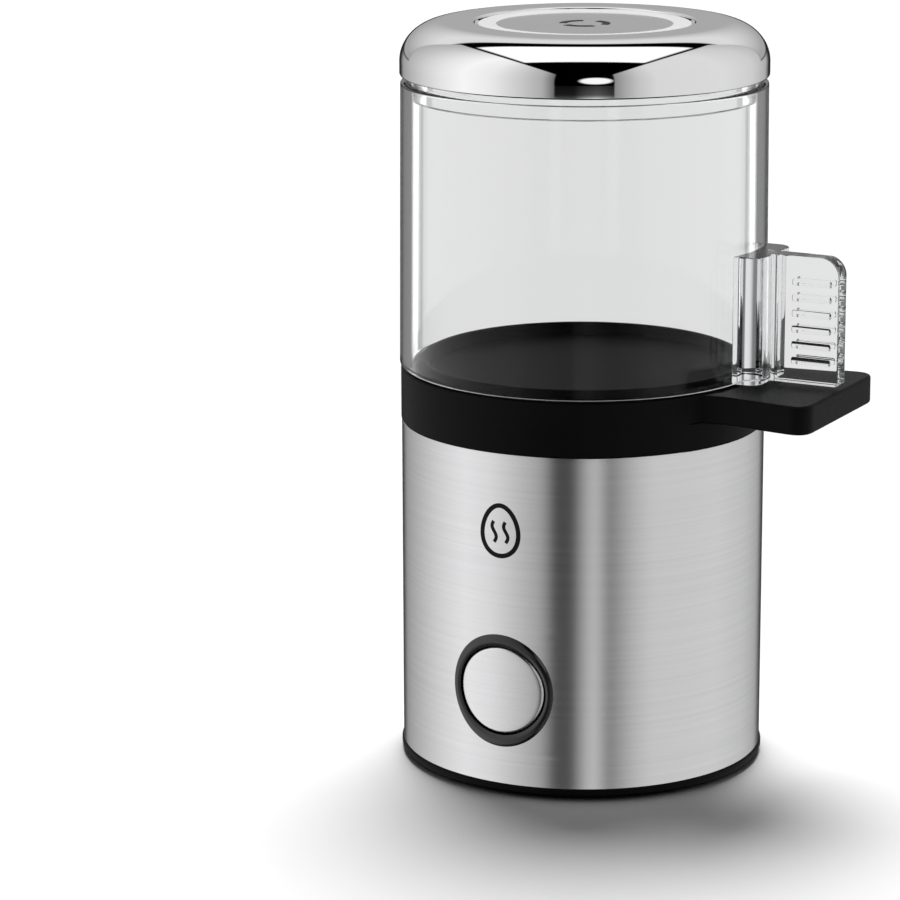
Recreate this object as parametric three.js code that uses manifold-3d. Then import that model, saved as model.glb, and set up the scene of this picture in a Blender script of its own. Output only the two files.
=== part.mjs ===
// A one-egg cooker: a brushed steel body on a black base, a black collar with a side shelf,
// a black heating pan, and a clear lift-off lid with a chromed dome and a clear finger grip.
// Millimetres, +Z up. The body's axis is Z, the push button faces -Y, and the shelf points to +X.
// The origin is on the axis, on the surface that the cooker stands on.
import * as THREE from "three";
import { mergeVertices } from "three/addons/utils/BufferGeometryUtils.js";
import Module from "manifold-3d";

const wasm = await Module();
wasm.setup();

// ---------------------------------------------------------------- driving dimensions
const BODY_R = 43.2; // outside of the steel sleeve
const BODY_BOTTOM = 3; // lower edge of the sleeve
const BODY_TOP = 82.5; // upper edge of the sleeve
const COLLAR_TOP = 95.5; // land that the lid stands on
const LID_R = 43.6; // outside of the clear wall at its lower edge
const LID_R_TOP = 43.1; // and at its upper edge: the wall leans in a little, as moulded
const LID_WALL = 2.6;
const CAP_R = 43.3; // outside of the chromed dome
const CAP_BOTTOM = 164.6; // lower edge of the dome
const HEIGHT = 177;
const SHELF_END = 66.3; // reach of the shelf from the axis
const BUTTON_Z = 25.7; // height of the button's centre
const BUTTON_R = 10.4;
const BUTTON_TRAVEL = 1.2;
const CORD_Z = 18; // height of the mains cord outlet at the back
const GAP = 0.3; // clearance between separate pieces

// ---------------------------------------------------------------- values that follow
const SLEEVE_WALL = 0.8;
const SLEEVE_IN = BODY_R - SLEEVE_WALL;
const FRAME_OUT = SLEEVE_IN - GAP;
const FRAME_IN = FRAME_OUT - 1.9;
const COLLAR_R = BODY_R + 0.15;
const PAN_R = 39.3;
const PAN_RIM = COLLAR_TOP + 2.1;
const PAN_FLOOR = COLLAR_TOP - 0.4;
const PAN_UNDER = COLLAR_TOP - 2;
const LEDGE_TOP = COLLAR_TOP - 8; // ledge in the collar that carries the pan
const LEDGE_UNDER = LEDGE_TOP - 2.5;
const SHIELD_THICK = 0.8;
const LID_IN = LID_R - LID_WALL;
const LID_IN_TOP = LID_R_TOP - LID_WALL;
const LID_BOTTOM = COLLAR_TOP + GAP;
const ROUND = 36; // facets on the large round pieces
const SMALL = 16; // facets on the small round pieces

// ---------------------------------------------------------------- shape helpers
// Revolves [radius, height] pairs about Z. The outline runs anticlockwise, seen with Z up.
function turned(outline, facets = ROUND) {
  const points = outline.map(([r, z]) => new THREE.Vector2(r, z));
  return new THREE.LatheGeometry(points, facets).rotateX(Math.PI / 2);
}

// As turned, for an outline that closes on itself.
function ring(outline, facets = ROUND) {
  return turned([...outline, outline[0]], facets);
}

// A tube wall between two radii.
function pipe(inner, outer, z0, z1, facets = ROUND) {
  return ring([[inner, z0], [outer, z0], [outer, z1], [inner, z1]], facets);
}

// A solid round bar along Z.
function bar(r, z0, z1, facets = SMALL) {
  return turned([[0, z0], [r, z0], [r, z1], [0, z1]], facets);
}

// A box from its lowest and highest corners.
function block([x0, y0, z0], [x1, y1, z1]) {
  const made = new THREE.BoxGeometry(x1 - x0, y1 - y0, z1 - z0);
  return made.translate((x0 + x1) / 2, (y0 + y1) / 2, (z0 + z1) / 2);
}

// An outline in the XY plane, raised from z0 to z1.
function raised(shape, z0, z1, curveSegments = 6) {
  const options = { depth: z1 - z0, bevelEnabled: false, curveSegments };
  return new THREE.ExtrudeGeometry(shape, options).translate(0, 0, z0);
}

// Turns a piece made along Z so that its +Z end faces the front, at a height above the base.
function facingFront(geometry, z) {
  return geometry.rotateX(Math.PI / 2).translate(0, 0, z);
}

// Turns a piece made along Z so that its +Z end faces the back, at a height above the base.
function facingBack(geometry, z) {
  return geometry.rotateX(-Math.PI / 2).translate(0, 0, z);
}

// A round wire or rod along a curve.
function rodAlong(curve, r, steps, sides = 8) {
  const section = new THREE.Shape();
  for (let i = 0; i <= sides; i++) {
    const a = (2 * Math.PI * i) / sides;
    const x = r * Math.cos(a);
    const y = r * Math.sin(a);
    if (i === 0) section.moveTo(x, y);
    else if (i < sides) section.lineTo(x, y);
  }
  section.closePath();
  return new THREE.ExtrudeGeometry(section, { steps, extrudePath: curve, bevelEnabled: false });
}

// The geometry as a manifold solid, with the slivers at a lathe's poles dropped.
function solid(geometry) {
  const bare = geometry.clone();
  bare.deleteAttribute("normal");
  bare.deleteAttribute("uv");
  const merged = mergeVertices(bare, 1e-4);
  const kept = [];
  const index = merged.index.array;
  for (let i = 0; i < index.length; i += 3) {
    const [a, b, c] = index.slice(i, i + 3);
    if (a !== b && b !== c && a !== c) kept.push(a, b, c);
  }
  const vertProperties = merged.attributes.position.array;
  return new wasm.Manifold(
    new wasm.Mesh({ numProp: 3, vertProperties, triVerts: new Uint32Array(kept) }),
  );
}

// A manifold solid as a three.js geometry.
function geometryOf(made) {
  const mesh = made.getMesh();
  const geometry = new THREE.BufferGeometry();
  geometry.setAttribute("position", new THREE.BufferAttribute(mesh.vertProperties.slice(), 3));
  geometry.setIndex(new THREE.BufferAttribute(mesh.triVerts.slice(), 1));
  geometry.computeVertexNormals();
  return geometry;
}

const join = (first, ...others) => others.reduce((sum, g) => sum.add(solid(g)), solid(first));

// Joins the pieces in `solids`, then removes the pieces in `holes`.
function shaped(solids, holes = []) {
  const whole = join(...solids);
  return geometryOf(holes.reduce((left, g) => left.subtract(solid(g)), whole));
}

// The part of a geometry that lies inside another.
function within(geometry, limit) {
  return geometryOf(solid(geometry).intersect(solid(limit)));
}

// Points on a quarter arc in the [radius, height] plane, from angle a to angle b in degrees.
function arc(cr, cz, r, a, b, steps) {
  const points = [];
  for (let i = 0; i <= steps; i++) {
    const t = THREE.MathUtils.degToRad(a + ((b - a) * i) / steps);
    points.push([cr + r * Math.cos(t), cz + r * Math.sin(t)]);
  }
  return points;
}

// A place at a radius and an angle round the axis.
function at(radius, degrees) {
  const a = THREE.MathUtils.degToRad(degrees);
  return [radius * Math.cos(a), radius * Math.sin(a)];
}

// `count` evenly spaced places round the axis.
function around(count, radius, firstDegrees) {
  return Array.from({ length: count }, (_, i) => at(radius, firstDegrees + (360 * i) / count));
}

// ---------------------------------------------------------------- materials
function finish(color, roughness, metalness, opacity = 1) {
  return new THREE.MeshStandardMaterial({
    color, roughness, metalness, opacity, transparent: opacity < 1,
  });
}
const brushedSteel = finish(0xc4c5c7, 0.32, 1);
const chrome = finish(0xdcdde0, 0.06, 1);
const plainSteel = finish(0xa8abae, 0.4, 1);
const blackPlastic = finish(0x121214, 0.45, 0);
const glossBlack = finish(0x0b0b0c, 0.15, 0);
const panCoat = finish(0x1b1b1c, 0.38, 0.2);
const clearPlastic = finish(0xf3f5f6, 0.04, 0, 0.25);
const rubber = finish(0x1d1d1e, 0.9, 0);
const silicone = finish(0xb9b4ab, 0.6, 0);
const boardGreen = finish(0x1f5a38, 0.5, 0);
const component = finish(0x1c2026, 0.4, 0);
const ivoryPlastic = finish(0xe6e0d2, 0.5, 0);
const brass = finish(0xb99a55, 0.3, 1);
const wireRed = finish(0x8a1d1a, 0.5, 0);
const wireBlue = finish(0x1d3f8a, 0.5, 0);
const wireGreen = finish(0x3b7a2a, 0.5, 0);

const eggCooker = new THREE.Group();

function add(name, geometry, material, group = eggCooker) {
  const mesh = new THREE.Mesh(geometry, material);
  mesh.name = name;
  group.add(mesh);
  return mesh;
}

// ---------------------------------------------------------------- base
const PAD_R = 27;
const PAD_THICK = 2;
const COVER_UNDER = 0.8;
const COVER_FLOOR = 4.4;
const SCREW_CIRCLE = 34;
const BASE_SCREWS = [20, 160, 200, 340].map((degrees) => at(SCREW_CIRCLE, degrees));
const CLAMP_Y = 31; // place of the cord clamp, behind the axis
const CLAMP_X = 8; // half the distance between its screws
const CLAMP_UNDER = CORD_Z + 3.2;

function basePad() {
  return bar(PAD_R, 0, PAD_THICK, ROUND);
}

function baseCover() {
  const spigotOut = FRAME_OUT - 0.7;
  const spigotIn = spigotOut - 2;
  const shell = turned([
    [0, PAD_THICK], [PAD_R + 0.4, PAD_THICK], [PAD_R + 0.4, COVER_UNDER],
    [BODY_R - 0.8, COVER_UNDER], [BODY_R + 0.4, COVER_UNDER + 0.9], [BODY_R + 0.4, BODY_BOTTOM],
    [spigotOut, BODY_BOTTOM], [spigotOut, 9], [spigotIn, 9], [spigotIn, COVER_FLOOR],
    [0, COVER_FLOOR],
  ]);
  const posts = [-CLAMP_X, CLAMP_X].map((x) =>
    bar(3, COVER_FLOOR - 0.5, CLAMP_UNDER, 14).translate(x, CLAMP_Y, 0));
  const screwHoles = BASE_SCREWS.flatMap(([x, y]) => [
    bar(1.8, 0, 6, 12).translate(x, y, 0),
    bar(3.4, 0, COVER_UNDER + 1.6, 14).translate(x, y, 0),
  ]);
  const postHoles = [-CLAMP_X, CLAMP_X].map((x) =>
    bar(1.5, COVER_FLOOR + 1, CLAMP_UNDER + 1, 10).translate(x, CLAMP_Y, 0));
  return shaped([shell, ...posts], [...screwHoles, ...postHoles]);
}

// A pan-head screw along Z: the head stands below z = 0 and the shank runs up.
function screw(headR, headH, shankR, length) {
  return turned([
    [0, -headH], [headR * 0.75, -headH], [headR, 0], [shankR, 0], [shankR, length], [0, length],
  ], 10);
}

add("base_pad", basePad(), rubber);
add("base_cover", baseCover(), blackPlastic);
BASE_SCREWS.forEach(([x, y], i) => {
  const made = add(`base_screw_${i + 1}`, screw(2.9, 1.3, 1.5, 16), plainSteel);
  made.position.set(x, y, COVER_UNDER + 1.6);
});

// ---------------------------------------------------------------- steel sleeve and inner frame
const BEZEL_R = 12.9;
const HOUSING_IN = BUTTON_R + 0.4;
const GLAND_HOLE_R = 5;
const BOARD_FRONT = -22.5; // front face of the control board
const BOARD_THICK = 1.6;

// A round bar along Y that cuts the front or the back wall only.
const frontCut = (r) => facingFront(bar(r, 30, 50, 36), BUTTON_Z);
const backCut = (r) => facingBack(bar(r, 30, 50, SMALL), CORD_Z);

function bodySleeve() {
  const wall = pipe(SLEEVE_IN, BODY_R, BODY_BOTTOM, BODY_TOP);
  return shaped([wall], [frontCut(BEZEL_R + 0.2), backCut(GLAND_HOLE_R)]);
}

const FRAME_BOTTOM = 9.3;
const FRAME_TOP = BODY_TOP - 4.5;
const BOARD_POST_X = 19;
const POST_Z = 56;

function innerFrame() {
  const wall = pipe(FRAME_IN, FRAME_OUT, FRAME_BOTTOM, FRAME_TOP);
  const bosses = BASE_SCREWS.map(([x, y]) =>
    bar(3.6, COVER_FLOOR + 0.2, 24, 14).translate(x, y, 0));
  const webs = BASE_SCREWS.map(([x, y]) => {
    const angle = Math.atan2(y, x);
    return block([SCREW_CIRCLE, -1.2, FRAME_BOTTOM + 0.2], [FRAME_IN + 0.8, 1.2, 24]).rotateZ(angle);
  });
  // Two posts on the front wall carry the control board, one on each side of the button.
  const limit = bar(FRAME_OUT - 0.4, 50, 62, ROUND);
  const posts = [-BOARD_POST_X, BOARD_POST_X].map((x) =>
    within(facingFront(bar(3, -BOARD_FRONT + 0.1, 40, 14).translate(x, 0, 0), POST_Z), limit));
  const postHoles = [-BOARD_POST_X, BOARD_POST_X].map((x) =>
    facingFront(bar(1.3, -BOARD_FRONT - 1, 32, 10).translate(x, 0, 0), POST_Z));
  const pilots = BASE_SCREWS.map(([x, y]) => bar(1.8, 0, 20.5, 12).translate(x, y, 0));
  return shaped(
    [wall, ...bosses, ...webs, ...posts],
    [frontCut(BEZEL_R + GAP), backCut(GLAND_HOLE_R), ...pilots, ...postHoles],
  );
}

add("body_sleeve", bodySleeve(), brushedSteel);
add("inner_frame", innerFrame(), ivoryPlastic);

// ---------------------------------------------------------------- collar with its shelf
const SHELF_THICK = 6.7;
const SHELF_HALF_END = 20.9; // half width at the outer end
const SHELF_HALF_ROOT = 18.6; // half width beside the collar
const SHELF_CORNER = 4.5;
const SHELF_FLARE = 3; // radius of the hollow corner against the collar

// The shelf's plan: straight sides that widen outwards, with round outer corners and a flare at
// the root that meets the collar's wall.
function shelfPlan() {
  const rootX = Math.sqrt(COLLAR_R ** 2 - (SHELF_HALF_ROOT + SHELF_FLARE) ** 2);
  const plan = new THREE.Shape();
  plan.moveTo(30, -SHELF_HALF_ROOT);
  plan.lineTo(rootX - 1.5, -SHELF_HALF_ROOT - SHELF_FLARE + 0.4);
  plan.quadraticCurveTo(rootX + 3.5, -SHELF_HALF_ROOT, rootX + 9, -SHELF_HALF_ROOT - 0.5);
  plan.lineTo(SHELF_END - SHELF_CORNER, -SHELF_HALF_END);
  plan.quadraticCurveTo(SHELF_END, -SHELF_HALF_END, SHELF_END, -SHELF_HALF_END + SHELF_CORNER);
  plan.lineTo(SHELF_END, SHELF_HALF_END - SHELF_CORNER);
  plan.quadraticCurveTo(SHELF_END, SHELF_HALF_END, SHELF_END - SHELF_CORNER, SHELF_HALF_END);
  plan.lineTo(rootX + 9, SHELF_HALF_ROOT + 0.5);
  plan.quadraticCurveTo(rootX + 3.5, SHELF_HALF_ROOT, rootX - 1.5, SHELF_HALF_ROOT + SHELF_FLARE - 0.4);
  plan.lineTo(30, SHELF_HALF_ROOT);
  plan.closePath();
  return plan;
}

function topCollar() {
  const ledgeIn = 35.5;
  const wallIn = PAN_R + 0.4;
  const spigotIn = FRAME_IN - 0.1;
  const body = ring([
    [ledgeIn, LEDGE_UNDER], [spigotIn, LEDGE_UNDER], [spigotIn, FRAME_TOP + GAP],
    [FRAME_OUT, FRAME_TOP + GAP], [FRAME_OUT, BODY_TOP], [COLLAR_R, BODY_TOP],
    [COLLAR_R, COLLAR_TOP], [wallIn, COLLAR_TOP], [wallIn, LEDGE_TOP], [ledgeIn, LEDGE_TOP],
  ]);
  const shelf = raised(shelfPlan(), COLLAR_TOP - SHELF_THICK, COLLAR_TOP);
  const middle = bar(wallIn + 1, COLLAR_TOP - SHELF_THICK - 1, COLLAR_TOP + 1, ROUND);
  const outside = geometryOf(solid(shelf).subtract(solid(middle)));
  return shaped([body, outside]);
}

add("top_collar", topCollar(), blackPlastic);

// ---------------------------------------------------------------- heating pan and what hangs under it
const STUD_R = 1.5;
const SHIELD_STUDS = around(3, 30, 30);
const CLIP_STUDS = around(2, 13, 0);
const SHIELD_UNDER = LEDGE_UNDER - SHIELD_THICK;
const NUT_HIGH = 2.4;
const CLIP_TOP = PAN_UNDER - 7.2;
const CLIP_THICK = 0.8;
const ELEMENT_R = 24;
const ELEMENT_TUBE = 3.2;
const ELEMENT_Z = PAN_UNDER - ELEMENT_TUBE - 0.5;
const PIN_X = 7;

function panGasket() {
  return pipe(36, PAN_R - 0.1, LEDGE_TOP, LEDGE_TOP + 1);
}

function heatingPan() {
  const flange = LEDGE_TOP + 1;
  const dish = turned([
    [0, PAN_UNDER], [37.2, PAN_UNDER], [37.2, flange], [PAN_R, flange], [PAN_R, PAN_RIM - 0.7],
    [PAN_R - 0.7, PAN_RIM], [PAN_R - 1.7, PAN_RIM], [PAN_R - 3.1, PAN_FLOOR + 0.5],
    [PAN_R - 4.3, PAN_FLOOR], [0, PAN_FLOOR],
  ]);
  const tall = SHIELD_STUDS.map(([x, y]) =>
    bar(STUD_R, SHIELD_UNDER - 4, PAN_UNDER + 0.5, 10).translate(x, y, 0));
  const short = CLIP_STUDS.map(([x, y]) =>
    bar(STUD_R, CLIP_TOP - 4.5, PAN_UNDER + 0.5, 10).translate(x, y, 0));
  return shaped([dish, ...tall, ...short]);
}

// The tubular heater: most of a ring, with both ends turned down.
function heatingElement() {
  const points = [];
  const turns = 16;
  const half = Math.asin(PIN_X / ELEMENT_R);
  const from = -Math.PI / 2 + half;
  const sweep = 2 * Math.PI - 2 * half;
  points.push(new THREE.Vector3(PIN_X, -ELEMENT_R - 1, ELEMENT_Z - 11));
  points.push(new THREE.Vector3(PIN_X, -ELEMENT_R - 1, ELEMENT_Z - 5));
  for (let i = 0; i <= turns; i++) {
    const a = from + (sweep * (i + 0.45)) / (turns + 0.9);
    points.push(new THREE.Vector3(ELEMENT_R * Math.cos(a), ELEMENT_R * Math.sin(a), ELEMENT_Z));
  }
  points.push(new THREE.Vector3(-PIN_X, -ELEMENT_R - 1, ELEMENT_Z - 5));
  points.push(new THREE.Vector3(-PIN_X, -ELEMENT_R - 1, ELEMENT_Z - 11));
  return rodAlong(new THREE.CatmullRomCurve3(points), ELEMENT_TUBE, 40, 8);
}

// A thin steel plate that clamps the collar's ledge from below.
function heatShield() {
  const plate = pipe(17, 38.6, SHIELD_UNDER, LEDGE_UNDER - 0.1, 36);
  const studHoles = SHIELD_STUDS.map(([x, y]) =>
    bar(STUD_R + 0.3, SHIELD_UNDER - 1, LEDGE_UNDER + 1, 10).translate(x, y, 0));
  const pinHoles = [-PIN_X, PIN_X].map((x) =>
    bar(ELEMENT_TUBE + 1.6, SHIELD_UNDER - 1, LEDGE_UNDER + 1, 16).translate(x, -ELEMENT_R - 1, 0));
  return shaped([plate], [...studHoles, ...pinHoles]);
}

// A hexagonal nut whose top face is at z = 0.
function nut() {
  return shaped([bar(3.1, -NUT_HIGH, 0, 6)], [bar(STUD_R + 0.2, -NUT_HIGH - 1, 1, 10)]);
}

// The bimetal thermostat: a cup against the pan, with two blade terminals.
function thermostat() {
  const top = PAN_UNDER - 0.2;
  const cup = turned([
    [0, CLIP_TOP], [7, CLIP_TOP], [8, CLIP_TOP + 1.2], [8, top - 1], [7.2, top], [0, top],
  ], 22);
  const blades = [-3.2, 3.2].map((x) => block([x - 0.4, -1.6, CLIP_TOP - 8], [x + 0.4, 1.6, CLIP_TOP + 1]));
  return shaped([cup, ...blades]);
}

function thermostatClip() {
  const strap = block([-17, -4, CLIP_TOP - CLIP_THICK], [17, 4, CLIP_TOP]);
  const window = block([-5.5, -2.4, CLIP_TOP - 2], [5.5, 2.4, CLIP_TOP + 1]);
  const holes = CLIP_STUDS.map(([x, y]) =>
    bar(STUD_R + 0.3, CLIP_TOP - 2, CLIP_TOP + 1, 10).translate(x, y, 0));
  return shaped([strap], [window, ...holes]);
}

const FUSE_Y = 23;
const FUSE_Z = SHIELD_UNDER - 2.4;

function thermalFuse() {
  const tube = turned([
    [0, -13], [0.5, -13], [0.5, -6], [1.9, -5], [1.9, 5], [0.5, 6], [0.5, 13], [0, 13],
  ], 10);
  return tube.rotateY(Math.PI / 2).translate(0, FUSE_Y, FUSE_Z);
}

// A saddle that holds the fuse against the shield.
function fuseClip() {
  const foot = SHIELD_UNDER - 0.1;
  const strap = block([-2, FUSE_Y - 4.5, FUSE_Z - 2.8], [2, FUSE_Y + 4.5, foot]);
  const room = block([-3, FUSE_Y - 2.1, FUSE_Z - 2.1], [3, FUSE_Y + 2.1, foot + 1]);
  return shaped([strap], [room]);
}

add("pan_gasket", panGasket(), silicone);
add("heating_pan", heatingPan(), panCoat);
add("heating_element", heatingElement(), plainSteel);
add("heat_shield", heatShield(), plainSteel);
SHIELD_STUDS.forEach(([x, y], i) => {
  add(`shield_nut_${i + 1}`, nut(), brass).position.set(x, y, SHIELD_UNDER);
});
add("thermostat", thermostat(), ivoryPlastic);
add("thermostat_clip", thermostatClip(), plainSteel);
CLIP_STUDS.forEach(([x, y], i) => {
  add(`clip_nut_${i + 1}`, nut(), brass).position.set(x, y, CLIP_TOP - CLIP_THICK);
});
add("thermal_fuse", thermalFuse(), plainSteel);
add("fuse_clip", fuseClip(), plainSteel);

// ---------------------------------------------------------------- control board
const BOARD_BACK = BOARD_FRONT + BOARD_THICK;
const BOARD_BOTTOM = 10;
const BOARD_TOP = 62;
const BOARD_HALF = 23.5;

function controlBoard() {
  const board = block([-BOARD_HALF, BOARD_FRONT, BOARD_BOTTOM], [BOARD_HALF, BOARD_BACK, BOARD_TOP]);
  const holes = [-BOARD_POST_X, BOARD_POST_X].map((x) =>
    facingFront(bar(1.7, 15, 30, 12).translate(x, 0, 0), POST_Z));
  return shaped([board], holes);
}

function relay() {
  return block([-18, BOARD_BACK + 0.1, 33], [2, BOARD_BACK + 15.5, 49]);
}

function capacitor() {
  const can = turned([[0, 0], [4, 0], [4, 11], [3.6, 12], [0, 12]], 16);
  return facingBack(can.translate(12, 0, BOARD_BACK + 0.1), 42);
}

function buzzer() {
  const drum = turned([[0, 0], [6, 0], [6, 8], [1, 8], [1, 6.5], [0, 6.5]], SMALL);
  return facingBack(drum.translate(10, 0, BOARD_BACK + 0.1), 22);
}

add("control_board", controlBoard(), boardGreen);
add("relay", relay(), component);
add("capacitor", capacitor(), component);
add("buzzer", buzzer(), component);
[-BOARD_POST_X, BOARD_POST_X].forEach((x, i) => {
  const made = add(`board_screw_${i + 1}`, screw(2.4, 1.2, 1.1, 8), plainSteel);
  made.rotation.x = Math.PI / 2;
  made.position.set(x, BOARD_BACK + 0.1, POST_Z);
});

// ---------------------------------------------------------------- push button and its switch
const CAP_DEPTH = 3.6;
const CARRIER_FRONT = BODY_R - CAP_DEPTH; // distances from the axis, towards the front
const CARRIER_THICK = 1.5;
const HOUSING_BACK = 33.5;
const HOUSING_WALL = 1.2;
const STEM_R = 2.4;
const SWITCH_HIGH = 5;
const SWITCH_WELL = 3;
const PLUNGER_HIGH = BUTTON_TRAVEL + 0.4;
const SWITCH_FRONT = -BOARD_FRONT + SWITCH_HIGH;
const STEM_TIP = SWITCH_FRONT + PLUNGER_HIGH + 0.1;

// Everything within a given distance of the body's axis, as a limit for the curved faces.
const roundBody = (r) => bar(r, 0, 60, 66);

function buttonHousing() {
  const tube = ring([
    [STEM_R + 0.3, HOUSING_BACK], [14.4, HOUSING_BACK], [14.4, HOUSING_BACK + 1.2],
    [BEZEL_R, HOUSING_BACK + 1.2], [BEZEL_R, 48], [HOUSING_IN, 48],
    [HOUSING_IN, HOUSING_BACK + HOUSING_WALL], [STEM_R + 0.3, HOUSING_BACK + HOUSING_WALL],
  ], 36);
  return within(facingFront(tube, BUTTON_Z), roundBody(BODY_R - 0.35));
}

function buttonCap() {
  const blank = bar(BUTTON_R, CARRIER_FRONT, 48, 36);
  return within(facingFront(blank, BUTTON_Z), roundBody(BODY_R - 0.05));
}

function buttonCarrier() {
  const back = CARRIER_FRONT - CARRIER_THICK;
  const outline = [
    [0, STEM_TIP], [STEM_R - 0.4, STEM_TIP], [STEM_R, STEM_TIP + 0.4], [STEM_R, back],
    [BUTTON_R - 0.6, back], [BUTTON_R - 0.6, CARRIER_FRONT - 0.1], [0, CARRIER_FRONT - 0.1],
  ];
  const groove = ring([[1.9, 32.3], [4, 32.3], [4, 33.1], [1.9, 33.1]], SMALL);
  return facingFront(shaped([turned(outline, SMALL)], [groove]), BUTTON_Z);
}

// The clip in the stem's groove, which keeps the button in its housing.
function buttonRetainer() {
  return facingFront(pipe(2.05, 4.4, 32.4, 33, SMALL), BUTTON_Z);
}

class Helix extends THREE.Curve {
  constructor(radius, low, high, turns) {
    super();
    Object.assign(this, { radius, low, high, turns });
  }
  getPoint(t, target = new THREE.Vector3()) {
    const a = 2 * Math.PI * this.turns * t;
    const z = this.low + (this.high - this.low) * t;
    return target.set(this.radius * Math.cos(a), this.radius * Math.sin(a), z);
  }
}

function buttonSpring() {
  const wire = 0.3;
  const low = HOUSING_BACK + HOUSING_WALL + wire + 0.1;
  const high = CARRIER_FRONT - CARRIER_THICK - wire - 0.1;
  return facingFront(rodAlong(new Helix(4.6, low, high, 2.5), wire, 30, 5), BUTTON_Z);
}

function switchBody() {
  const half = 3;
  const front = -SWITCH_FRONT;
  return shaped(
    [block([-half, front, BUTTON_Z - half], [half, BOARD_FRONT - 0.1, BUTTON_Z + half])],
    [facingFront(bar(1.9, SWITCH_FRONT - SWITCH_WELL, SWITCH_FRONT + 1, 14), BUTTON_Z)],
  );
}

function switchPlunger() {
  const foot = SWITCH_FRONT - SWITCH_WELL + BUTTON_TRAVEL + 0.1;
  return facingFront(bar(1.7, foot, SWITCH_FRONT + PLUNGER_HIGH, 14), BUTTON_Z);
}

add("button_housing", buttonHousing(), glossBlack);
add("button_cap", buttonCap(), brushedSteel);
add("button_carrier", buttonCarrier(), blackPlastic);
add("button_retainer", buttonRetainer(), plainSteel);
add("button_spring", buttonSpring(), plainSteel);
add("switch_body", switchBody(), component);
add("switch_plunger", switchPlunger(), component);

// ---------------------------------------------------------------- mains side
const BORE_R = 3.3; // passage for the mains cord

// A stepped bush in the back wall, held by a flange on each side.
function cordGland() {
  const outline = [
    [BORE_R, 36.8], [GLAND_HOLE_R + 2.4, 36.8], [GLAND_HOLE_R + 2.4, 38.4],
    [GLAND_HOLE_R - 0.3, 38.4], [GLAND_HOLE_R - 0.3, BODY_R + 0.2], [GLAND_HOLE_R + 2, BODY_R + 0.2],
    [GLAND_HOLE_R + 1, BODY_R + 2.8], [BORE_R, BODY_R + 2.8],
  ];
  return facingBack(ring(outline, SMALL), CORD_Z);
}

function cordClamp() {
  const plate = block([-12, CLAMP_Y - 3, CLAMP_UNDER + 0.1], [12, CLAMP_Y + 3, CLAMP_UNDER + 3]);
  const holes = [-CLAMP_X, CLAMP_X].map((x) =>
    bar(1.7, CLAMP_UNDER - 1, CLAMP_UNDER + 4, 10).translate(x, CLAMP_Y, 0));
  return shaped([plate], holes);
}

const BLOCK_Y = 14;
const TERMINALS = [-7, 0, 7];

function terminalBlock() {
  const body = block([-11, BLOCK_Y - 5, COVER_FLOOR + 0.1], [11, BLOCK_Y + 5, 14.5]);
  const wells = TERMINALS.map((x) => bar(1.8, 10, 16, 10).translate(x, BLOCK_Y, 0));
  return shaped([body], wells);
}

add("cord_gland", cordGland(), blackPlastic);
add("cord_clamp", cordClamp(), blackPlastic);
[-CLAMP_X, CLAMP_X].forEach((x, i) => {
  const made = add(`clamp_screw_${i + 1}`, screw(2.7, 1.2, 1.2, 9), plainSteel);
  made.rotation.x = Math.PI;
  made.position.set(x, CLAMP_Y, CLAMP_UNDER + 3.1);
});
add("terminal_block", terminalBlock(), ivoryPlastic);

// ---------------------------------------------------------------- inside wires
const WIRE_R = 0.9;

function wire(points, steps) {
  const line = new THREE.CatmullRomCurve3(points.map((p) => new THREE.Vector3(...p)));
  return rodAlong(line, WIRE_R, steps, 6);
}

const blockFront = BLOCK_Y - 5.4;
const blockBack = BLOCK_Y + 5.8;
const boardWire = BOARD_BACK + 1.2;
const pinEnd = ELEMENT_Z - 12.3;
const [earthX, earthY] = SHIELD_STUDS[0];
add("wire_supply_live", wire([
  [-7, blockFront, 9], [-8, 4, 9.5], [-11, -6, 12], [-13, -14, 18], [-14, boardWire + 1, 25],
  [-14, boardWire, 30],
], 14), wireRed);
add("wire_supply_neutral", wire([
  [0, blockFront, 9], [0, 3, 9.5], [-1, -7, 12], [-2, -14, 16], [-2, boardWire + 1, 22],
  [-2, boardWire, 28],
], 14), wireBlue);
add("wire_heater_live", wire([
  [-8, boardWire, 52], [-8, boardWire + 0.4, 60], [-7.6, -20, 66], [-PIN_X, -ELEMENT_R, 72],
  [-PIN_X, -ELEMENT_R - 1, pinEnd],
], 12), wireRed);
add("wire_heater_neutral", wire([
  [8, boardWire, 52], [8, boardWire + 0.4, 60], [7.6, -20, 66], [PIN_X, -ELEMENT_R, 72],
  [PIN_X, -ELEMENT_R - 1, pinEnd],
], 12), wireBlue);
add("wire_earth", wire([
  [7, blockBack, 9], [9, 22, 10], [15, 25, 20], [20, 24, 40], [25, 18, 62],
  [earthX, earthY, SHIELD_UNDER - 4.4],
], 16), wireGreen);

// ---------------------------------------------------------------- lid
const lid = new THREE.Group();
eggCooker.add(lid);

const GROOVE = 1.5; // gap between the clear wall's shoulder and the dome
const LINER_R = LID_IN_TOP - GAP;
const LINER_BOTTOM = CAP_BOTTOM - 5.2;
const CAP_WALL = 1.2;
const DOME_WIDE = 10; // the dome's rounded edge: its reach inwards and its height
const DOME_HIGH = 9.2;
const BADGE_R = 25;
const RECESS_R = BADGE_R + 0.8;
const RECESS_FLOOR = HEIGHT - 2;
const LINER_TOP = HEIGHT - 7;
const VENTS = around(4, 18, 0);

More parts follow.
